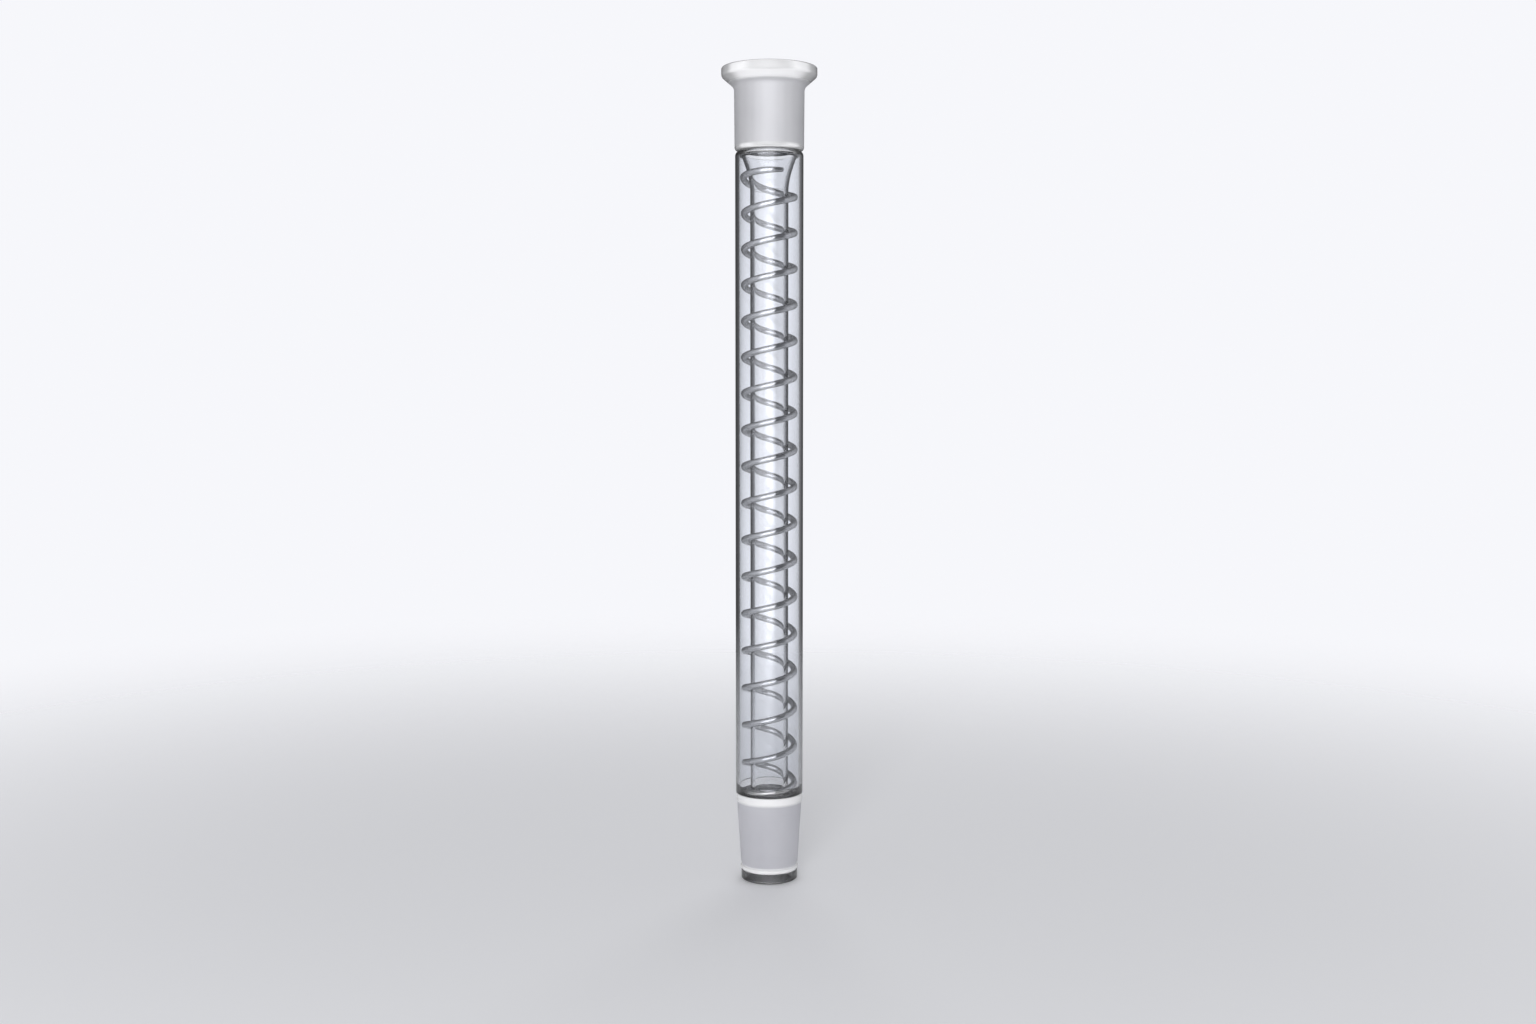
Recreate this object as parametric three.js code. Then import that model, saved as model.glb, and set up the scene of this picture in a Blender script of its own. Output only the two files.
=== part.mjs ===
// Spiral-jacketed laboratory condenser in borosilicate glass, 24/29 ground joints at both ends.
// Vapour runs straight through: drip ring, ground cone, inner tube, flare, ground socket.
// Around the inner tube a glass rod, wound as a right-handed spiral, stands loose inside a closed outer jacket.
// Millimetres, +Z up. The origin is the centre of the drip ring's flat lower end.
// Pieces that a glassblower fuses together stay separate solids, GAP apart.

import * as THREE from "three";

const SEGMENTS = 40; // facets round the axis, a multiple of 4
const ARC_STEPS = 4; // straight pieces in a quarter-round corner
const GAP = 0.3; // left between pieces that are fused on the real glass

// Overall
const LENGTH = 300;

// Outer jacket
const JACKET_RADIUS = 12.5;
const JACKET_WALL = 1.4;
const JACKET_BORE = JACKET_RADIUS - JACKET_WALL;

// Inner tube and the flare that opens it to the socket
const TUBE_RADIUS = 7.0;
const TUBE_WALL = 1.5;
const TUBE_BORE = TUBE_RADIUS - TUBE_WALL;
const FLARE_BOTTOM = 255.8;
const FLARE_TOP = 267.8;
const FLARE_RADIUS = 10.2; // outside, at the top
const FLARE_WALL = 1.3;
const FLARE_EASE = 1.7; // above 1 the flare leaves the tube gently and opens faster higher up

// Upper ring seal
const UPPER_SEAL_TOP = 270.0;
const UPPER_SEAL_CORNER = 1.7;

// Socket (outer joint)
const SOCKET_BOTTOM = UPPER_SEAL_TOP + GAP;
const SOCKET_RADIUS = 12.85; // outside, under the rim
const SOCKET_FOOT_RADIUS = 12.7; // outside, at the bottom
const SOCKET_CORNER = 1.4;
const SOCKET_MOUTH = 12.0; // ground bore, wide end
const SOCKET_THROAT = 10.55; // ground bore, narrow end
const SOCKET_FLOOR = SOCKET_BOTTOM + 2.2;
const RIM_RADIUS = 17.5;
const RIM_HEIGHT = 2.4; // from the top to where the rim's underside begins to curve in
const RIM_TOP_CORNER = 0.6;
const RIM_UNDER_CORNER = 1.6;
const RIM_SLOPE = 50; // degrees that each of the underside's two curves turns through
const RIM_UNDERSIDE = 3.8; // from the rim's straight side down to the start of the hollow curve
const RIM_FILLET = 3.0; // hollow curve between the rim and the socket's side
const MOUTH_CHAMFER = 0.8;

// Lower ring seal, whose top is the floor of the jacket space
const FLOOR = 32.0;
const FLOOR_FILLET = 2.0; // to the jacket's bore
const TUBE_FILLET = 1.0; // to the inner tube
const LOWER_SEAL_BOTTOM = 30.3;
const LOWER_SEAL_TOP = 35.8;
const SEAL_STEP = 33.0; // below this height the cone's skirt goes round the seal
const SEAL_NECK = 11.4; // the seal's radius inside that skirt

// Cone (inner joint)
const SKIRT_RADIUS = 12.35;
const SHOULDER = 30.0; // the skirt's straight side ends here
const GROUND_TOP = 29.0;
const GROUND_TOP_RADIUS = 12.05;
const GROUND_BOTTOM = 6.2;
const GROUND_BOTTOM_RADIUS = 10.6;
const WAIST = 5.5;
const WAIST_RADIUS = 10.25;
const BEAD_RADIUS = 10.8;
const CONE_BORE = 8.3; // at the bottom
const CONE_BORE_TOP = 9.3;
const CONE_CEILING = 26.1; // from here the bore closes in to the inner tube

// Drip ring, the clear unground end of the cone
const DRIP_TOP = 3.2;
const DRIP_RADIUS = 10.5;
const DRIP_CORNER = 0.5;

// Spiral
const ROD_RADIUS = 1.2;
const COIL_RADIUS = 9.25; // to the rod's middle
const COIL_TOP_RADIUS = 9.7; // the last turn opens a little to clear the flare
const PITCH = 13.52; // mean climb of a turn
const STRETCH = 0.055; // the lowest turn climbs this share more than the mean, the highest this share less
const COIL_FOOT = FLOOR + GAP + ROD_RADIUS;
const COIL_HEAD = 262.3;
const ROD_SIDES = 8;
const STEPS_PER_TURN = 16;
const FOOT_AZIMUTH = Math.PI; // seen from the front, the foot is at the far left
const HEAD_AZIMUTH = -Math.PI / 2 + 0.52; // and the head a little right of the middle
const FLAT_FOOT = 0.55; // turns over which the foot climbs slowly off the floor
const FLAT_HEAD = 0.3; // turns over which the head levels out

const glass = (color, roughness) =>
  new THREE.MeshStandardMaterial({ color, roughness, metalness: 0 });
const CLEAR = glass(0xe6ebee, 0.03);
const GROUND = glass(0xd3d4da, 0.55);

// Points of an arc about (r, z), from one angle to another, in degrees. 0 points away from the axis, 90 up.
function arc(r, z, radius, from, to) {
  const points = [];
  for (let i = 0; i <= ARC_STEPS; i++) {
    const a = THREE.MathUtils.degToRad(from + ((to - from) * i) / ARC_STEPS);
    points.push([r + radius * Math.cos(a), z + radius * Math.sin(a)]);
  }
  return points;
}

// A ring solid from its outline in the (radius, height) half-plane, listed anticlockwise.
function turned(name, outline, material) {
  const points = outline.map(([r, z]) => new THREE.Vector2(r, z));
  points.push(points[0].clone());
  const geometry = new THREE.LatheGeometry(points, SEGMENTS);
  geometry.rotateX(Math.PI / 2);
  const mesh = new THREE.Mesh(geometry, material);
  mesh.name = name;
  return mesh;
}

function dripRing() {
  const c = DRIP_CORNER;
  return turned(
    "drip_ring",
    [
      [CONE_BORE + c, 0],
      ...arc(DRIP_RADIUS - c, c, c, -90, 0),
      [DRIP_RADIUS, DRIP_TOP],
      [CONE_BORE, DRIP_TOP],
      [CONE_BORE, c],
    ],
    CLEAR,
  );
}

function coneJoint() {
  const bottom = DRIP_TOP + GAP;
  const bead = (WAIST - bottom) / 2;
  const seat = LOWER_SEAL_BOTTOM - GAP;
  const top = SEAL_STEP - GAP;
  const dome = CONE_BORE_TOP - TUBE_BORE;
  return turned(
    "cone_joint",
    [
      [CONE_BORE, bottom],
      ...arc(BEAD_RADIUS - bead, bottom + bead, bead, -90, 60),
      [WAIST_RADIUS, WAIST],
      [GROUND_BOTTOM_RADIUS, GROUND_BOTTOM],
      [GROUND_TOP_RADIUS, GROUND_TOP],
      [SKIRT_RADIUS, SHOULDER],
      [SKIRT_RADIUS, top],
      [SEAL_NECK + GAP, top],
      [SEAL_NECK + GAP, seat],
      [TUBE_BORE, seat],
      ...arc(TUBE_BORE, CONE_CEILING, dome, 70, 0),
    ],
    GROUND,
  );
}

function lowerRingSeal() {
  const f = FLOOR_FILLET;
  const t = TUBE_FILLET;
  return turned(
    "lower_ring_seal",
    [
      [TUBE_BORE, LOWER_SEAL_BOTTOM],
      [SEAL_NECK, LOWER_SEAL_BOTTOM],
      [SEAL_NECK, SEAL_STEP],
      [JACKET_RADIUS, SEAL_STEP],
      [JACKET_RADIUS, LOWER_SEAL_TOP],
      [JACKET_BORE, LOWER_SEAL_TOP],
      ...arc(JACKET_BORE - f, FLOOR + f, f, 0, -90),
      ...arc(TUBE_RADIUS + t, FLOOR + t, t, -90, -180),
      [TUBE_BORE, FLOOR + t],
    ],
    CLEAR,
  );
}

function jacketTube() {
  const bottom = LOWER_SEAL_TOP + GAP;
  return turned(
    "jacket_tube",
    [
      [JACKET_BORE, bottom],
      [JACKET_RADIUS, bottom],
      [JACKET_RADIUS, FLARE_TOP],
      [JACKET_BORE, FLARE_TOP],
    ],
    CLEAR,
  );
}

function innerTube() {
  const bottom = FLOOR + TUBE_FILLET + GAP;
  const top = FLARE_BOTTOM - GAP;
  return turned(
    "inner_tube",
    [
      [TUBE_BORE, bottom],
      [TUBE_RADIUS, bottom],
      [TUBE_RADIUS, top],
      [TUBE_BORE, top],
    ],
    CLEAR,
  );
}

// The flare's outer radius, a share t of the way up it.
const flareRadius = (t) =>
  TUBE_RADIUS + (FLARE_RADIUS - TUBE_RADIUS) * t ** FLARE_EASE;

function innerTubeFlare() {
  const outside = [];
  const inside = [];
  for (let i = 0; i <= 2 * ARC_STEPS; i++) {
    const t = i / (2 * ARC_STEPS);
    const z = THREE.MathUtils.lerp(FLARE_BOTTOM, FLARE_TOP, t);
    const wall = THREE.MathUtils.lerp(TUBE_WALL, FLARE_WALL, t);
    outside.push([flareRadius(t), z]);
    inside.unshift([flareRadius(t) - wall, z]);
  }
  return turned("inner_tube_flare", [...outside, ...inside], CLEAR);
}

function upperRingSeal() {
  const bottom = FLARE_TOP + GAP;
  const c = UPPER_SEAL_CORNER;
  const bore = FLARE_RADIUS - FLARE_WALL;
  return turned(
    "upper_ring_seal",
    [
      [bore, bottom],
      [JACKET_RADIUS, bottom],
      ...arc(JACKET_RADIUS - c, UPPER_SEAL_TOP - c, c, 0, 90),
      [bore, UPPER_SEAL_TOP],
    ],
    CLEAR,
  );
}

function socketJoint() {
  const bandBottom = LENGTH - RIM_HEIGHT;
  const hollow = bandBottom - RIM_UNDERSIDE - RIM_FILLET * Math.sin(THREE.MathUtils.degToRad(RIM_SLOPE));
  const foot = SOCKET_CORNER;
  const bore = FLARE_RADIUS - FLARE_WALL;
  const step = SOCKET_THROAT - bore;
  return turned(
    "socket_joint",
    [
      [bore, SOCKET_BOTTOM],
      ...arc(SOCKET_FOOT_RADIUS - foot, SOCKET_BOTTOM + foot, foot, -90, 0),
      ...arc(SOCKET_RADIUS + RIM_FILLET, hollow, RIM_FILLET, 180, 180 - RIM_SLOPE),
      ...arc(RIM_RADIUS - RIM_UNDER_CORNER, bandBottom, RIM_UNDER_CORNER, -RIM_SLOPE, 0),
      ...arc(RIM_RADIUS - RIM_TOP_CORNER, LENGTH - RIM_TOP_CORNER, RIM_TOP_CORNER, 0, 90),
      [SOCKET_MOUTH + MOUTH_CHAMFER, LENGTH],
      [SOCKET_MOUTH, LENGTH - MOUTH_CHAMFER],
      [SOCKET_THROAT, SOCKET_FLOOR],
      ...arc(SOCKET_THROAT - step, SOCKET_FLOOR, step, 0, -60),
    ],
    GROUND,
  );
}

// Eases from 0 to 1 with no slope at either end.
const smooth = (t) => t * t * (3 - 2 * t);

// The middle line of the spiral's rod, from its flat foot to its level head.
class SpiralCurve extends THREE.Curve {
  constructor() {
    super();
    const rise = COIL_HEAD - COIL_FOOT;
    const lost = (FLAT_FOOT + FLAT_HEAD) / 2; // turns' worth of climb that the flat ends give up
    const whole = Math.floor(rise / PITCH + lost);
    const part = (HEAD_AZIMUTH - FOOT_AZIMUTH) / (2 * Math.PI);
    this.turns = whole + part - Math.floor(part);
    this.climbingTurns = this.turns - lost;
    this.arcLengthDivisions = 4000;
  }

  // Height after u turns: the slope grows from nothing over the foot and fades over the head.
  height(u) {
    const fromHead = Math.max(0, u - (this.turns - FLAT_HEAD));
    const onFoot = Math.min(u, FLAT_FOOT);
    const climbing =
      onFoot ** 2 / (2 * FLAT_FOOT) + Math.max(0, u - FLAT_FOOT) - fromHead ** 2 / (2 * FLAT_HEAD);
    const share = climbing / this.climbingTurns;
    return COIL_FOOT + (COIL_HEAD - COIL_FOOT) * (share + STRETCH * share * (1 - share));
  }

  getPoint(t, target = new THREE.Vector3()) {
    const u = t * this.turns;
    const azimuth = FOOT_AZIMUTH + u * 2 * Math.PI;
    const opening = smooth(THREE.MathUtils.clamp(1 - (this.turns - u) / (2 * FLAT_HEAD), 0, 1));
    const radius = THREE.MathUtils.lerp(COIL_RADIUS, COIL_TOP_RADIUS, opening);
    return target.set(radius * Math.cos(azimuth), radius * Math.sin(azimuth), this.height(u));
  }
}

function glassSpiral() {
  const section = new THREE.Shape().absarc(0, 0, ROD_RADIUS, 0, 2 * Math.PI);
  const curve = new SpiralCurve();
  const geometry = new THREE.ExtrudeGeometry(section, {
    extrudePath: curve,
    steps: Math.round(curve.turns * STEPS_PER_TURN),
    curveSegments: ROD_SIDES / 2,
  });
  const mesh = new THREE.Mesh(geometry, CLEAR);
  mesh.name = "glass_spiral";
  return mesh;
}

const condenser = new THREE.Group();
condenser.add(
  socketJoint(),
  upperRingSeal(),
  jacketTube(),
  innerTubeFlare(),
  innerTube(),
  glassSpiral(),
  lowerRingSeal(),
  coneJoint(),
  dripRing(),
);

export default condenser;
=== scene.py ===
"""Looks of a laboratory condenser: clear and ground glass round a loose glass-rod spiral.

Metres, +Z up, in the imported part's frame. Every turned piece is cut from an outline in the
(radius, height) half-plane, so its places come from the boxes of the CAD nodes it stands for.
"""
import math

import bpy
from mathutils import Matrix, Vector

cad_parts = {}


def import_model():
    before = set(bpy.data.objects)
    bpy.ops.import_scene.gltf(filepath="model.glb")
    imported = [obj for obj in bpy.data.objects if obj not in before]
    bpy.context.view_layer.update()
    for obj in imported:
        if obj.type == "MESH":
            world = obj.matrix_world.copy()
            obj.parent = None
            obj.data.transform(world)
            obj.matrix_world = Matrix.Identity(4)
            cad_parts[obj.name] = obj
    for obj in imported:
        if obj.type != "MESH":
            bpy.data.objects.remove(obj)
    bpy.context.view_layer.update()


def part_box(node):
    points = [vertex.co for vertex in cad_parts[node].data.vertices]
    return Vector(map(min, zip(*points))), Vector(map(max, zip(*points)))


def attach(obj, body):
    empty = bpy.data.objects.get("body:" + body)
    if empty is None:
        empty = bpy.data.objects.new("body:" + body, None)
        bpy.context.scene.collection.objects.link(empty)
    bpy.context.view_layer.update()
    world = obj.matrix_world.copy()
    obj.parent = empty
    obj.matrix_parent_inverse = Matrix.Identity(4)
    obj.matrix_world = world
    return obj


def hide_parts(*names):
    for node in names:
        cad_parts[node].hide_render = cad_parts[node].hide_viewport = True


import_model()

MM = 0.001
SEGMENTS = 192  # facets round the axis, a multiple of 4
ARC_STEPS = 10  # straight pieces in a rounded corner
SEAM = 0.012 * MM  # left between pieces that are fused on the real glass
SHARP_ANGLE = math.radians(38)  # edges sharper than this stay crisp

# Walls that the boxes of the CAD nodes can't tell
JACKET_WALL = 1.4 * MM
TUBE_WALL = 1.5 * MM
FLARE_WALL = 1.3 * MM
FLARE_EASE = 1.7
SOCKET_MOUTH = 12.0 * MM
SOCKET_THROAT = 10.55 * MM
SOCKET_RADIUS = 12.85 * MM
SOCKET_FOOT_RADIUS = 12.7 * MM
SOCKET_CORNER = 1.4 * MM
SOCKET_FLOOR = 2.2 * MM  # above the socket's lower end
RIM_HEIGHT = 2.4 * MM
RIM_TOP_CORNER = 0.6 * MM
RIM_UNDER_CORNER = 1.6 * MM
RIM_SLOPE = 50  # degrees that each of the underside's two curves turns through
RIM_UNDERSIDE = 3.8 * MM
RIM_FILLET = 3.0 * MM
MOUTH_ROUNDING = 0.8 * MM
UPPER_SEAL_CORNER = 1.7 * MM
FLOOR = 32.0 * MM
FLOOR_FILLET = 2.0 * MM
TUBE_FILLET = 1.0 * MM
SEAL_NECK = 11.4 * MM
GROUND_TOP, GROUND_TOP_RADIUS = 29.0 * MM, 12.05 * MM
GROUND_BOTTOM, GROUND_BOTTOM_RADIUS = 6.2 * MM, 10.6 * MM
BEAD_RADIUS = 10.8 * MM
CONE_BORE = 8.3 * MM
CONE_BORE_TOP = 9.3 * MM
CONE_CEILING = 26.1 * MM
DRIP_CORNER = 0.6 * MM
BEAD = 1.0 * MM
WAIST = 0.55 * MM
WAIST_OFFSET = 0.4 * MM  # of the waist, and of the grinding's end, from GROUND_BOTTOM
SHOULDER_EDGE = 0.5 * MM
SHOULDER_RISE = 1.2 * MM
SEAL_EDGE = 0.3 * MM
FLARE_STEPS = 24

# Spiral
ROD_RADIUS = 1.2 * MM
COIL_RADIUS = 9.25 * MM
COIL_TOP_RADIUS = 9.7 * MM
PITCH = 13.52 * MM
FOOT_AZIMUTH = math.pi
HEAD_AZIMUTH = -math.pi / 2 + 0.52
FLAT_FOOT = 0.55
FLAT_HEAD = 0.3
ROD_SIDES = 24
STEPS_PER_TURN = 72
STRETCH = 0.055  # how much further apart the lower turns are
POLISH = 0.45 * MM  # rounding of the rod's fire-polished ends
POLISH_STEPS = 6
TIP = 6.0 * MM  # over which the head is drawn thinner
TIP_LOSS = 0.3

# Textures. Noise scales are along X, Y and Z.
DRAW_LINES = (420, 420, 6)  # the lines that drawing leaves along a tube
ROD_STREAKS = (300, 300, 300)
GRINDING = (2600, 2600, 5200)
CLOUDS = (90, 90, 60)
RELIEF = 0.05 * MM
BLEND = 1.2 * MM  # over which ground glass turns into polished
POLISHED_ROUGHNESS, GROUND_ROUGHNESS = 0.22, 0.46

# Glass. The rod's values are tuned to look silvery and aren't those of a real glass.
GLASS_IOR = 1.474
CLEAR_GLASS = {"Roughness": 0.01, "IOR": GLASS_IOR, "Transmission Weight": 1.0}
GROUND_GLASS = {"IOR": GLASS_IOR, "Transmission Weight": 0.3}
ROD_GLASS = {
    "Roughness": 0.1,
    "IOR": 1.8,
    "Specular IOR Level": 1.0,
    "Transmission Weight": 0.3,
    "Coat Weight": 1.0,
    "Coat IOR": 4.0,
    "Coat Roughness": 0.04,
}

# Soft panels that mirrored light sees: degrees round from the front, towards +X, and how bright
PANELS = (
    (-180, 0.03), (-150, 0.04), (-110, 0.12), (-70, 0.26), (-40, 0.4), (-30, 1.0), (14, 1.0),
    (24, 0.02), (56, 0.02), (70, 0.26), (120, 0.24), (150, 0.06), (180, 0.03),
)
PANEL_LEVEL = 2.6

PALE = (0.925, 0.93, 0.965)  # backdrop, and what is seen through clear glass
COOL = (0.955, 0.97, 1.0)  # the jacket's own faint tint
WHITE = (1.0, 1.0, 1.0)
BORE_PAINTED_GLOW = (0.97, 0.97, 0.98)  # painted light: ground glass inside a joint, painted bright as if lit through the wall
SOCKET_TINT = (0.99, 0.99, 1.02)
CONE_TINT = (0.97, 0.97, 1.03)

# Base colours as greys: how far the surface is turned edge on, from 0 to 1, and how bright it is. The
# clear pieces' darkening edge on is painted shade.
JACKET_SHADES = (
    (0.0, 1.0), (0.1, 0.99), (0.2, 0.94), (0.3, 0.88), (0.5, 0.76),
    (0.57, 0.4), (0.76, 0.18), (0.86, 0.03), (1.0, 0.01),
)
TUBE_SHADES = ((0.0, 1.0), (0.35, 1.0), (0.48, 0.86), (0.6, 0.2), (0.72, 0.02), (1.0, 0.01))
FLARE_SHADES = ((0.0, 1.0), (0.4, 0.98), (0.5, 0.7), (0.62, 0.12), (1.0, 0.01))
SEAL_SHADES = ((0.0, 1.0), (0.12, 0.94), (0.24, 0.55), (0.42, 0.06), (0.65, 0.01), (1.0, 0.005))
DRIP_SHADES = ((0.0, 0.85), (0.1, 0.5), (0.3, 0.12), (0.5, 0.02), (1.0, 0.005))
# Rod: painted shade darkens the outer side edge on; the inner side's paler greys are painted light.
ROD_OUTER_SHADES = ((0.0, 0.6), (0.5, 0.55), (0.75, 0.2), (1.0, 0.01))
ROD_INNER_SHADES = ((0.0, 1.0), (0.5, 0.95), (0.85, 0.7), (1.0, 0.3))
# Ground glass, painted light and shade: the socket darkens edge on and the cone lightens a little; the
# socket's ends are brightest part way to edge on, a painted highlight, and dark fully edge on; the cone's
# ends darken a little edge on.
SOCKET_SHADES = ((0.0, 0.7), (0.05, 0.65), (0.14, 0.58), (0.3, 0.53), (0.6, 0.5), (1.0, 0.48))
SOCKET_END_SHADES = ((0.0, 0.72), (0.06, 0.72), (0.2, 0.98), (0.36, 0.98), (0.55, 0.55), (1.0, 0.35))
CONE_SHADES = ((0.0, 0.59), (0.3, 0.59), (1.0, 0.64))
CONE_END_SHADES = ((0.0, 0.95), (1.0, 0.9))
SOCKET_FOOT_BAND = 2 * MM  # polished, above the socket's lower end

# Set
TABLE_RADIUS = 1.2
TABLE_SIDES = 96
TABLE_FADE = (0.12, 0.75)  # distances from the part at which the table starts and ends fading
TABLE_COLOUR = (0.88, 0.885, 0.9)
TABLE_ROUGHNESS = 0.6
SKY_FADE = (0.45, 0.88)  # steepness at which light seen through glass starts and ends darkening
SKY_LEVELS = (1.0, 0.14)
PANEL_FADE = (0.5, 0.9)
PANEL_TOP = 0.15 * PANEL_LEVEL
LAMPS = (
    # name, place, aim, size, watts
    ("key", (-0.12, -0.95, 0.55), (0, 0, 0.15), (0.3, 0.5), 3.2),
    ("low", (-0.1, -0.7, 0.03), (0, 0, 0.2), (0.4, 0.1), 1.7),
    ("back", (0.1, 0.9, 0.6), (0, 0, 0.15), (0.8, 0.5), 3),
)
LENS, SENSOR = 38.75, 36
CAMERA_PLACE = (-0.48 * MM, -0.612, 0.184)
CAMERA_DOWN = 4.3  # degrees


# ---------------------------------------------------------------- materials


def new_material(name):
    """A material with one Principled node, and a function that adds another node."""
    material = bpy.data.materials.new(name)
    material.use_nodes = True
    tree = material.node_tree
    shader = tree.nodes["Principled BSDF"]

    def add(kind):
        return tree.nodes.new(kind)

    return material, tree, shader, add


def set_inputs(node, values):
    """Constants set on a node's own sockets."""
    for key, value in values.items():
        node.inputs[key].default_value = value


def ramp(add, tree, factor, stops, smooth=True):
    """A colour ramp driven by factor. Stops are (position, grey or colour)."""
    node = add("ShaderNodeValToRGB")
    tree.links.new(factor, node.inputs[0])
    node.color_ramp.interpolation = "EASE" if smooth else "LINEAR"
    elements = node.color_ramp.elements
    while len(elements) < len(stops):
        elements.new(0.5)
    for element, (position, colour) in zip(elements, stops):
        element.position = position
        rgb = colour if isinstance(colour, tuple) else (colour,) * 3
        element.color = (*rgb, 1)
    return node.outputs["Color"]


def stretched_noise(add, tree, scale, detail=2.0):
    """Noise in the part's own space, stretched by the three scales."""
    where = add("ShaderNodeTexCoord")
    spread = add("ShaderNodeMapping")
    tree.links.new(where.outputs["Object"], spread.inputs["Vector"])
    spread.inputs["Scale"].default_value = scale
    noise = add("ShaderNodeTexNoise")
    noise.inputs["Scale"].default_value = 1.0
    noise.inputs["Detail"].default_value = detail
    tree.links.new(spread.outputs["Vector"], noise.inputs["Vector"])
    return noise.outputs["Fac"]


def mixed(add, tree, blend, factor, a, b):
    """Two colours blended. The factor is a number or an output."""
    node = add("ShaderNodeMix")
    node.data_type = "RGBA"
    node.blend_type = blend
    if isinstance(factor, float):
        node.inputs["Factor"].default_value = factor
    else:
        tree.links.new(factor, node.inputs["Factor"])
    tree.links.new(a, node.inputs["A"])
    tree.links.new(b, node.inputs["B"])
    return node.outputs["Result"]


def bumped(add, tree, shader, height, strength):
    """A shallow relief on the shader's normal."""
    bump = add("ShaderNodeBump")
    bump.inputs["Strength"].default_value = strength
    bump.inputs["Distance"].default_value = RELIEF
    tree.links.new(height, bump.inputs["Height"])
    tree.links.new(bump.outputs["Normal"], shader.inputs["Normal"])


def tinted(stops, tint):
    """Ramp stops given as greys, coloured by a tint."""
    return [(position, tuple(grey * t for t in tint)) for position, grey in stops]


def math_node(add, tree, operation, a, b):
    """Two values combined. Each is a number or an output."""
    node = add("ShaderNodeMath")
    node.operation = operation
    for index, value in enumerate((a, b)):
        if isinstance(value, (int, float)):
            node.inputs[index].default_value = value
        else:
            tree.links.new(value, node.inputs[index])
    return node.outputs[0]


def outwards(add, tree, low, high):
    """0 up to low and 1 from high, where 1 faces straight away from the part's axis and -1 faces it."""
    where = add("ShaderNodeTexCoord")
    level = add("ShaderNodeVectorMath")
    level.operation = "MULTIPLY"
    tree.links.new(where.outputs["Object"], level.inputs[0])
    level.inputs[1].default_value = (1, 1, 0)
    away = add("ShaderNodeVectorMath")
    away.operation = "NORMALIZE"
    tree.links.new(level.outputs[0], away.inputs[0])
    side = add("ShaderNodeVectorMath")
    side.operation = "DOT_PRODUCT"
    tree.links.new(where.outputs["Normal"], side.inputs[0])
    tree.links.new(away.outputs[0], side.inputs[1])
    share = add("ShaderNodeMapRange")
    set_inputs(share, {"From Min": low, "From Max": high})
    tree.links.new(side.outputs["Value"], share.inputs["Value"])
    return share.outputs["Result"]


def clear_glass(name, stops, tint=WHITE):
    """Fire-polished glass with faint draw lines; painted shade darkens its outside where it is seen edge
    on.
    """
    material, tree, shader, add = new_material(name)
    # Painted shade: the base colour darkens where the outside is seen edge on.
    edge_on = add("ShaderNodeLayerWeight")
    away = outwards(add, tree, 0.2, 0.8)
    factor = math_node(add, tree, "MULTIPLY", edge_on.outputs["Facing"], away)
    shade = ramp(add, tree, factor, tinted(stops, tint), smooth=False)
    streaks = stretched_noise(add, tree, DRAW_LINES)
    colour = mixed(add, tree, "MULTIPLY", 0.04, shade, streaks)
    tree.links.new(colour, shader.inputs["Base Color"])
    bumped(add, tree, shader, streaks, 0.02)
    set_inputs(shader, CLEAR_GLASS)
    return material


def rod_glass(name, outer_stops, inner_stops):
    """The rod: on the side away from the axis, silvery with painted shade where it is seen edge on; on the
    side that faces the tube, painted paler as painted light.
    """
    material, tree, shader, add = new_material(name)
    # Painted shade edge on, and painted light on the side that faces the tube.
    edge_on = add("ShaderNodeLayerWeight")
    outer = ramp(add, tree, edge_on.outputs["Facing"], outer_stops, smooth=False)
    inner = ramp(add, tree, edge_on.outputs["Facing"], inner_stops, smooth=False)
    colour = mixed(add, tree, "MIX", outwards(add, tree, -0.3, 0.3), inner, outer)
    streaks = stretched_noise(add, tree, ROD_STREAKS)
    tree.links.new(mixed(add, tree, "MULTIPLY", 0.1, colour, streaks), shader.inputs["Base Color"])
    bumped(add, tree, shader, streaks, 0.05)
    set_inputs(shader, ROD_GLASS)
    return material


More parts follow.
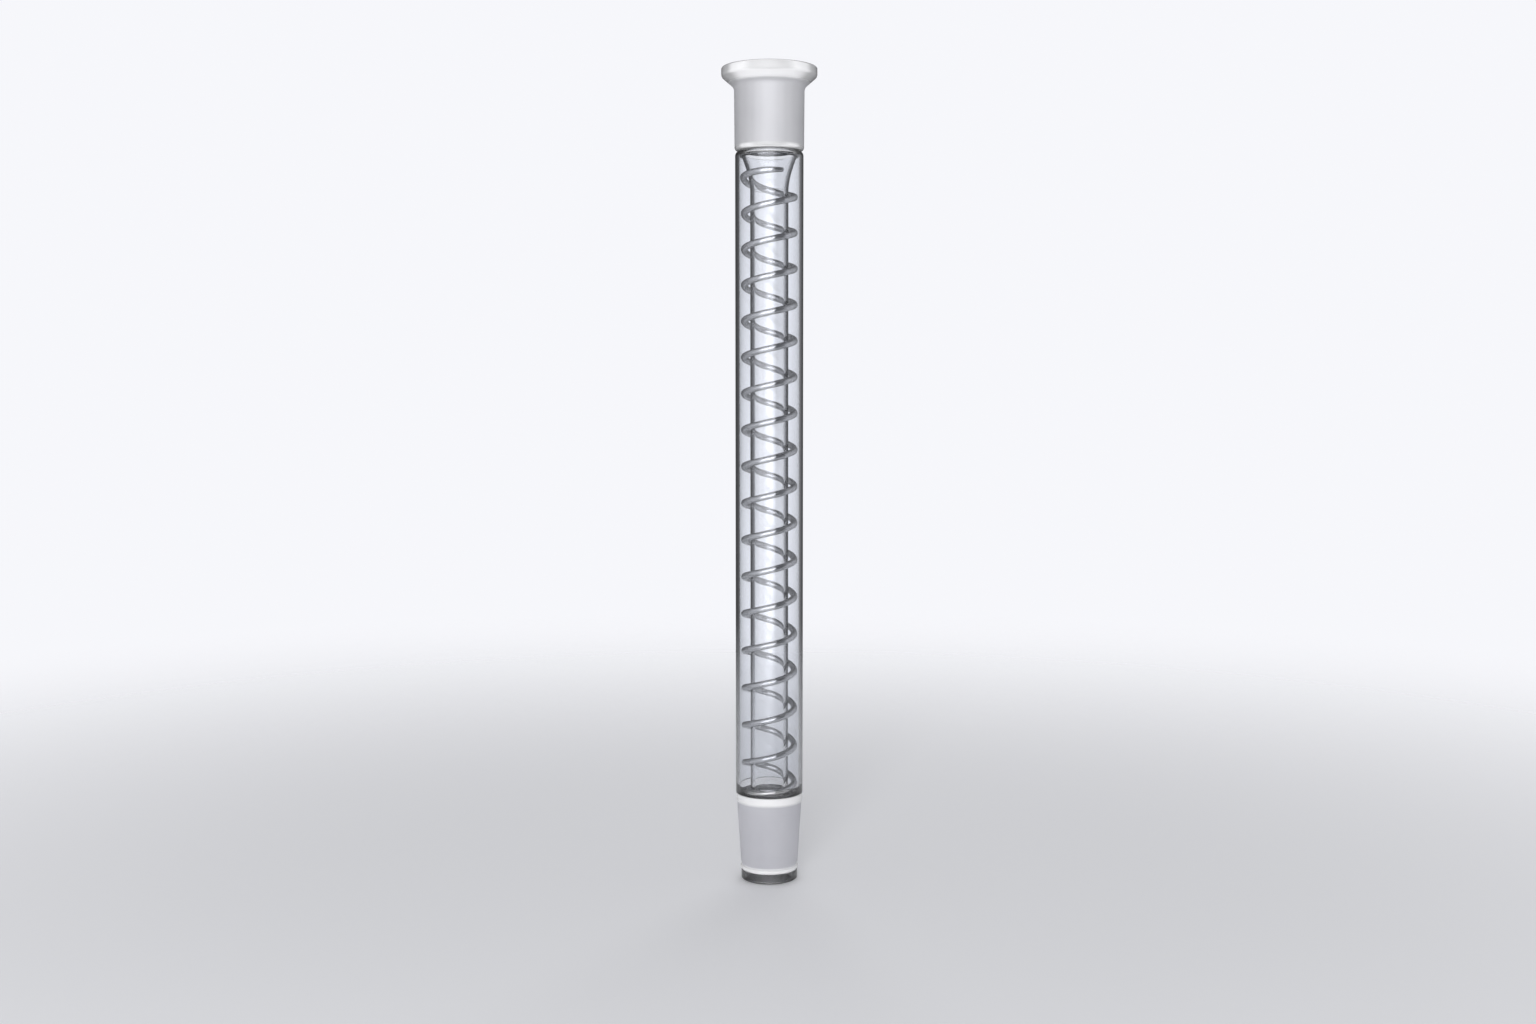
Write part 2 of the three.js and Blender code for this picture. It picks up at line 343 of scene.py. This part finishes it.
def ground_glass(name, body, painted_end_shades, low, high):
    """Ground glass: milky, with a fine grain and painted light and shade by how far it is turned edge on.
    Below low and above high it is smoother, in other painted shades; its bore is painted bright, as
    painted light.
    """
    material, tree, shader, add = new_material(name)
    # Painted light and shade: the body's and the ends' brightness follow how far the surface is turned
    # edge on.
    edge_on = add("ShaderNodeLayerWeight")
    milk_with_painted_edges = ramp(add, tree, edge_on.outputs["Facing"], body)
    ends_with_painted_light_and_shade = ramp(add, tree, edge_on.outputs["Facing"], painted_end_shades)
    grain = stretched_noise(add, tree, GRINDING, 3.0)
    cloud = stretched_noise(add, tree, CLOUDS)
    mottled_with_painted_edges = mixed(add, tree, "OVERLAY", 0.12, milk_with_painted_edges, cloud)

    where = add("ShaderNodeTexCoord")
    split = add("ShaderNodeSeparateXYZ")
    tree.links.new(where.outputs["Object"], split.inputs[0])
    within = add("ShaderNodeMath")
    within.operation = "MULTIPLY"
    for index, (start, end) in enumerate(((low - BLEND, low), (high + BLEND, high))):
        reach = add("ShaderNodeMapRange")
        reach.interpolation_type = "SMOOTHSTEP"
        set_inputs(reach, {"From Min": start, "From Max": end})
        tree.links.new(split.outputs["Z"], reach.inputs["Value"])
        tree.links.new(reach.outputs["Result"], within.inputs[index])
    outside = mixed(add, tree, "MIX", within.outputs[0], ends_with_painted_light_and_shade, mottled_with_painted_edges)
    # Painted light: the bore, which faces the axis, is painted bright as if lit through the wall.
    bore = add("ShaderNodeRGB")
    bore.outputs[0].default_value = (*BORE_PAINTED_GLOW, 1)
    colour = mixed(add, tree, "MIX", outwards(add, tree, -0.3, 0.1), bore.outputs[0], outside)
    tree.links.new(colour, shader.inputs["Base Color"])

    rough = add("ShaderNodeMapRange")
    set_inputs(rough, {"To Min": POLISHED_ROUGHNESS, "To Max": GROUND_ROUGHNESS})
    tree.links.new(within.outputs[0], rough.inputs["Value"])
    tree.links.new(rough.outputs["Result"], shader.inputs["Roughness"])
    bumped(add, tree, shader, grain, 0.25)
    set_inputs(shader, GROUND_GLASS)
    return material


# ------------------------------------------------------------------- pieces


def arc(r, z, radius, start, end, steps=ARC_STEPS):
    """Points of an arc about (r, z), between two angles in degrees. 0 points away from the axis, 90 up."""
    points = []
    for i in range(steps + 1):
        a = math.radians(start + (end - start) * i / steps)
        points.append((r + radius * math.cos(a), z + radius * math.sin(a)))
    return points


def finished(name, vertices, faces, node, material, body):
    """A smooth-shaded mesh object that stands for a CAD node."""
    mesh = bpy.data.meshes.new(name)
    mesh.from_pydata(vertices, [], faces)
    mesh.validate()
    mesh.polygons.foreach_set("use_smooth", [True] * len(mesh.polygons))
    mesh.set_sharp_from_angle(angle=SHARP_ANGLE)
    mesh.materials.append(material)
    piece = bpy.data.objects.new(name, mesh)
    bpy.context.scene.collection.objects.link(piece)
    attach(piece, body)
    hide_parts(node)
    return piece


def turned(name, outline, node, material):
    """A ring of glass from its outline, listed anticlockwise in the (radius, height) half-plane."""
    count = len(outline)
    vertices = []
    for s in range(SEGMENTS):
        a = 2 * math.pi * s / SEGMENTS
        vertices += [(r * math.cos(a), r * math.sin(a), z) for r, z in outline]
    faces = []
    for s in range(SEGMENTS):
        here, there = s * count, (s + 1) % SEGMENTS * count
        for i in range(count):
            j = (i + 1) % count
            faces.append((here + i, there + i, there + j, here + j))
    return finished(name, vertices, faces, node, material, "glass_body")


def drip_ring(material):
    """The clear end below the ground cone."""
    outer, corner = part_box("drip_ring")[1].x, DRIP_CORNER
    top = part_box("cone_joint")[0].z - SEAM
    outline = [
        *arc(CONE_BORE + corner, corner, corner, 180, 270),
        *arc(outer - corner, corner, corner, -90, 0),
        (outer, top),
        (CONE_BORE, top),
    ]
    return turned("drip_ring_glass", outline, "drip_ring", material)


def cone(material):
    """The ground cone, with a bead below and a plain shoulder above."""
    low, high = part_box("cone_joint")
    skirt = high.x
    edge = SHOULDER_EDGE
    seal_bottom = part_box("lower_ring_seal")[0].z - SEAM
    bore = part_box("inner_tube")[1].x - TUBE_WALL
    dome = CONE_BORE_TOP - bore
    outline = [
        (CONE_BORE, low.z),
        *arc(BEAD_RADIUS - BEAD, low.z + BEAD, BEAD, -90, 50),
        *arc(BEAD_RADIUS, GROUND_BOTTOM - WAIST_OFFSET, WAIST, 240, 180, 5),
        (GROUND_BOTTOM_RADIUS, GROUND_BOTTOM + WAIST_OFFSET),
        (GROUND_TOP_RADIUS, GROUND_TOP),
        *arc(skirt - 2 * edge, GROUND_TOP + SHOULDER_RISE, 2 * edge, -15, 0, 4),
        *arc(skirt - edge, high.z - edge, edge, 0, 90, 5),
        (SEAL_NECK + SEAM, high.z),
        (SEAL_NECK + SEAM, seal_bottom),
        (bore, seal_bottom),
        *arc(bore, CONE_CEILING, dome, 70, 0),
    ]
    return turned("cone_joint_glass", outline, "cone_joint", material)


def lower_seal(material):
    """The floor of the jacket space, which joins the jacket, the inner tube and the cone."""
    low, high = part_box("lower_ring_seal")
    outer, edge = high.x, SEAL_EDGE
    jacket_bore = outer - JACKET_WALL
    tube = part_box("inner_tube")[1].x
    bore = tube - TUBE_WALL
    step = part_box("cone_joint")[1].z + SEAM
    wide, narrow = FLOOR_FILLET, TUBE_FILLET
    outline = [
        (bore, low.z),
        (SEAL_NECK, low.z),
        (SEAL_NECK, step),
        *arc(outer - edge, step + edge, edge, -90, 0, 4),
        (outer, high.z),
        (jacket_bore, high.z),
        *arc(jacket_bore - wide, FLOOR + wide, wide, 0, -90),
        *arc(tube + narrow, FLOOR + narrow, narrow, -90, -180),
        (bore, FLOOR + narrow),
    ]
    return turned("lower_seal_glass", outline, "lower_ring_seal", material)


def jacket(material):
    """The outer tube."""
    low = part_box("lower_ring_seal")[1].z + SEAM
    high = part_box("upper_ring_seal")[0].z - SEAM
    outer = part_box("jacket_tube")[1].x
    bore = outer - JACKET_WALL
    outline = [(bore, low), (outer, low), (outer, high), (bore, high)]
    return turned("jacket_glass", outline, "jacket_tube", material)


def inner_tube(material):
    """The tube that the rod winds round."""
    low = FLOOR + TUBE_FILLET + SEAM
    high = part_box("inner_tube_flare")[0].z - SEAM
    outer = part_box("inner_tube")[1].x
    bore = outer - TUBE_WALL
    outline = [(bore, low), (outer, low), (outer, high), (bore, high)]
    return turned("inner_tube_glass", outline, "inner_tube", material)


def flare(material):
    """The funnel at the top of the inner tube."""
    low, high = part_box("inner_tube_flare")
    narrow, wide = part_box("inner_tube")[1].x, high.x
    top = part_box("upper_ring_seal")[0].z - SEAM
    outside, inside = [], []
    for i in range(FLARE_STEPS + 1):
        t = i / FLARE_STEPS
        radius = narrow + (wide - narrow) * t**FLARE_EASE
        wall = TUBE_WALL + (FLARE_WALL - TUBE_WALL) * t
        z = low.z + (top - low.z) * t
        outside.append((radius, z))
        inside.insert(0, (radius - wall, z))
    return turned("flare_glass", outside + inside, "inner_tube_flare", material)


def upper_seal(material):
    """The ring that joins the jacket, the flare and the socket."""
    low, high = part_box("upper_ring_seal")
    outer, corner = high.x, UPPER_SEAL_CORNER
    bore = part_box("inner_tube_flare")[1].x - FLARE_WALL
    outline = [
        (bore, low.z),
        (outer, low.z),
        *arc(outer - corner, high.z - corner, corner, 0, 90),
        (bore, high.z),
    ]
    return turned("upper_seal_glass", outline, "upper_ring_seal", material)


def socket(material):
    """The ground socket, with its flared rim."""
    low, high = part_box("socket_joint")
    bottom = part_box("upper_ring_seal")[1].z + SEAM
    rim = high.x
    band = high.z - RIM_HEIGHT
    hollow = band - RIM_UNDERSIDE - RIM_FILLET * math.sin(math.radians(RIM_SLOPE))
    foot, top, lip = SOCKET_CORNER, RIM_TOP_CORNER, MOUTH_ROUNDING
    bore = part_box("inner_tube_flare")[1].x - FLARE_WALL
    inner_floor = low.z + SOCKET_FLOOR
    step = SOCKET_THROAT - bore
    outline = [
        (bore, bottom),
        *arc(SOCKET_FOOT_RADIUS - foot, bottom + foot, foot, -90, 0),
        *arc(SOCKET_RADIUS + RIM_FILLET, hollow, RIM_FILLET, 180, 180 - RIM_SLOPE),
        *arc(rim - RIM_UNDER_CORNER, band, RIM_UNDER_CORNER, -RIM_SLOPE, 0),
        *arc(rim - top, high.z - top, top, 0, 90),
        *arc(SOCKET_MOUTH + lip, high.z - lip, lip, 90, 180),
        (SOCKET_THROAT, inner_floor),
        *arc(SOCKET_THROAT - step, inner_floor, step, 0, -60),
    ]
    return turned("socket_joint_glass", outline, "socket_joint", material)


def smooth(t):
    """Eases from 0 to 1 with no slope at either end."""
    return t * t * (3 - 2 * t)


def spiral(material):
    """The loose rod, swept along the same middle line as its CAD node, with melted-round ends."""
    low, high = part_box("glass_spiral")
    foot, head = low.z + ROD_RADIUS, high.z - ROD_RADIUS
    lost = (FLAT_FOOT + FLAT_HEAD) / 2
    part = (HEAD_AZIMUTH - FOOT_AZIMUTH) / (2 * math.pi)
    turns = math.floor((head - foot) / PITCH + lost) + part - math.floor(part)

    def middle(u):
        """The rod's middle line, u turns from its foot."""
        on_foot = min(u, FLAT_FOOT)
        from_head = max(0.0, u - (turns - FLAT_HEAD))
        climbed = on_foot**2 / (2 * FLAT_FOOT) + max(0.0, u - FLAT_FOOT)
        climbed -= from_head**2 / (2 * FLAT_HEAD)
        opening = smooth(min(1.0, max(0.0, 1 - (turns - u) / (2 * FLAT_HEAD))))
        radius = COIL_RADIUS + (COIL_TOP_RADIUS - COIL_RADIUS) * opening
        a = FOOT_AZIMUTH + u * 2 * math.pi
        share = climbed / (turns - lost)
        height = foot + (head - foot) * (share + STRETCH * share * (1 - share))
        return Vector((radius * math.cos(a), radius * math.sin(a), height))

    turn_length = 2 * math.pi * COIL_RADIUS
    count = round(turns * STEPS_PER_TURN)
    stations = [turns * i / count for i in range(1, count)]
    ends = [
        POLISH * (1 - math.cos(math.pi / 2 * i / POLISH_STEPS)) / turn_length
        for i in range(POLISH_STEPS + 1)
    ]
    stations = ends + [u for u in stations if ends[-1] < u < turns - ends[-1]]
    stations += [turns - e for e in reversed(ends)]

    vertices, faces = [], []
    for u in stations:
        here = middle(u)
        along = (middle(min(turns, u + 1e-4)) - middle(max(0.0, u - 1e-4))).normalized()
        out = Vector((here.x, here.y, 0))
        out = (out - along * out.dot(along)).normalized()
        up = along.cross(out)
        to_end = min(u, turns - u) * turn_length
        inset = POLISH - math.sqrt(max(0.0, POLISH**2 - max(0.0, POLISH - to_end) ** 2))
        drawn = 1 - TIP_LOSS * smooth(max(0.0, 1 - (turns - u) * turn_length / TIP))
        radius = ROD_RADIUS * drawn - inset
        for s in range(ROD_SIDES):
            a = 2 * math.pi * s / ROD_SIDES
            vertices.append(here + radius * (math.cos(a) * out + math.sin(a) * up))
    for i in range(len(stations) - 1):
        for s in range(ROD_SIDES):
            t = (s + 1) % ROD_SIDES
            a, b = i * ROD_SIDES, (i + 1) * ROD_SIDES
            faces.append((a + s, a + t, b + t, b + s))
    faces.append(tuple(range(ROD_SIDES - 1, -1, -1)))
    faces.append(tuple(len(vertices) - ROD_SIDES + s for s in range(ROD_SIDES)))
    return finished("glass_spiral_rod", vertices, faces, "glass_spiral", material, "spiral")


# --------------------------------------------------------------------- set


def floor():
    """A pale table that fades into the backdrop away from the part."""
    mesh = bpy.data.meshes.new("floor")
    angles = [2 * math.pi * i / TABLE_SIDES for i in range(TABLE_SIDES)]
    corners = [(TABLE_RADIUS * math.cos(a), TABLE_RADIUS * math.sin(a), 0) for a in angles]
    mesh.from_pydata(corners, [], [tuple(range(TABLE_SIDES))])
    material, tree, shader, add = new_material("pale_table")
    set_inputs(shader, {"Base Color": (*TABLE_COLOUR, 1), "Roughness": TABLE_ROUGHNESS})
    where = add("ShaderNodeTexCoord")
    distance = add("ShaderNodeVectorMath")
    distance.operation = "LENGTH"
    tree.links.new(where.outputs["Object"], distance.inputs[0])
    fade = add("ShaderNodeMapRange")
    fade.interpolation_type = "SMOOTHSTEP"
    set_inputs(fade, {"From Min": TABLE_FADE[0], "From Max": TABLE_FADE[1]})
    tree.links.new(distance.outputs["Value"], fade.inputs["Value"])
    clear = add("ShaderNodeBsdfTransparent")
    blend = add("ShaderNodeMixShader")
    tree.links.new(fade.outputs["Result"], blend.inputs[0])
    tree.links.new(shader.outputs[0], blend.inputs[1])
    tree.links.new(clear.outputs[0], blend.inputs[2])
    tree.links.new(blend.outputs[0], tree.nodes["Material Output"].inputs["Surface"])
    mesh.materials.append(material)
    table = bpy.data.objects.new("floor", mesh)
    bpy.context.scene.collection.objects.link(table)


def world():
    """An even pale backdrop. Mirrored light comes from tall soft panels round the part instead."""
    surroundings = bpy.data.worlds.new("studio")
    bpy.context.scene.world = surroundings
    surroundings.use_nodes = True
    tree = surroundings.node_tree
    background = tree.nodes["Background"]

    def add(kind, operation=None):
        node = tree.nodes.new(kind)
        if operation:
            node.operation = operation
        return node

    def between(value, fade, levels):
        node = add("ShaderNodeMapRange")
        node.interpolation_type = "SMOOTHSTEP"
        set_inputs(node, {"From Min": fade[0], "From Max": fade[1]})
        set_inputs(node, {"To Min": levels[0], "To Max": levels[1]})
        tree.links.new(value, node.inputs["Value"])
        return node.outputs["Result"]

    where = add("ShaderNodeTexCoord")
    split = add("ShaderNodeSeparateXYZ")
    tree.links.new(where.outputs["Generated"], split.inputs[0])
    steep = add("ShaderNodeMath", "ABSOLUTE")
    tree.links.new(split.outputs["Z"], steep.inputs[0])
    through = between(steep.outputs[0], SKY_FADE, SKY_LEVELS)

    backwards = add("ShaderNodeMath", "MULTIPLY")
    tree.links.new(split.outputs["Y"], backwards.inputs[0])
    backwards.inputs[1].default_value = -1
    azimuth = add("ShaderNodeMath", "ARCTAN2")
    tree.links.new(split.outputs["X"], azimuth.inputs[0])
    tree.links.new(backwards.outputs[0], azimuth.inputs[1])
    around = add("ShaderNodeMath", "MULTIPLY_ADD")
    tree.links.new(azimuth.outputs[0], around.inputs[0])
    around.inputs[1].default_value = 1 / (2 * math.pi)
    around.inputs[2].default_value = 0.5
    stops = [(degrees / 360 + 0.5, level) for degrees, level in PANELS]
    panel = ramp(add, tree, around.outputs[0], stops, smooth=False)
    height = between(split.outputs["Z"], PANEL_FADE, (PANEL_LEVEL, PANEL_TOP))
    mirrored = add("ShaderNodeMath", "MULTIPLY")
    tree.links.new(panel, mirrored.inputs[0])
    tree.links.new(height, mirrored.inputs[1])

    path = add("ShaderNodeLightPath")
    bounced = add("ShaderNodeMath", "GREATER_THAN")
    tree.links.new(path.outputs["Glossy Depth"], bounced.inputs[0])
    bounced.inputs[1].default_value = 0.5
    level = add("ShaderNodeMix")
    tree.links.new(bounced.outputs[0], level.inputs["Factor"])
    tree.links.new(through, level.inputs["A"])
    tree.links.new(mirrored.outputs[0], level.inputs["B"])
    seen = add("ShaderNodeMix")
    seen.inputs["B"].default_value = 1.0
    tree.links.new(path.outputs["Is Camera Ray"], seen.inputs["Factor"])
    tree.links.new(level.outputs["Result"], seen.inputs["A"])
    background.inputs["Color"].default_value = (*PALE, 1)
    tree.links.new(seen.outputs["Result"], background.inputs["Strength"])


def lamp(name, place, aim, size, watts):
    """A soft lamp that lights rough surfaces and isn't seen itself."""
    data = bpy.data.lights.new(name, "AREA")
    data.shape = "RECTANGLE"
    data.size, data.size_y = size
    data.energy = watts
    light = bpy.data.objects.new(name, data)
    light.location = place
    light.rotation_euler = (Vector(aim) - Vector(place)).to_track_quat("-Z", "Y").to_euler()
    light.visible_camera = False
    light.visible_glossy = False
    light.visible_transmission = False
    bpy.context.scene.collection.objects.link(light)


def camera():
    """The photographer's view: a little above the middle of the part, looking slightly down."""
    data = bpy.data.cameras.new("camera")
    data.lens = LENS
    data.sensor_width = SENSOR
    view = bpy.data.objects.new("camera", data)
    view.location = CAMERA_PLACE
    view.rotation_euler = (math.radians(90 - CAMERA_DOWN), 0, 0)
    bpy.context.scene.collection.objects.link(view)
    bpy.context.scene.camera = view


camera()
seal = clear_glass("seal_glass", SEAL_SHADES)
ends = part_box("socket_joint")
ground_socket = ground_glass(
    "ground_socket",
    tinted(SOCKET_SHADES, SOCKET_TINT),
    SOCKET_END_SHADES,
    ends[0].z + SOCKET_FOOT_BAND,
    ends[1].z - RIM_HEIGHT - RIM_UNDERSIDE,
)
ground_cone = ground_glass(
    "ground_cone",
    tinted(CONE_SHADES, CONE_TINT),
    CONE_END_SHADES,
    GROUND_BOTTOM,
    GROUND_TOP,
)

socket(ground_socket)
upper_seal(seal)
jacket(clear_glass("jacket_glass", JACKET_SHADES, COOL))
flare(clear_glass("flare_glass", FLARE_SHADES))
inner_tube(clear_glass("tube_glass", TUBE_SHADES))
spiral(rod_glass("rod_glass", ROD_OUTER_SHADES, ROD_INNER_SHADES))
lower_seal(seal)
cone(ground_cone)
drip_ring(clear_glass("ring_glass", DRIP_SHADES))

floor()
world()
for settings in LAMPS:
    lamp(*settings)

scene = bpy.context.scene
scene.view_settings.view_transform = "Standard"
scene.cycles.max_bounces = 32
scene.cycles.transmission_bounces = 28
scene.cycles.glossy_bounces = 12
scene.cycles.transparent_max_bounces = 16
scene.cycles.sample_clamp_indirect = 6
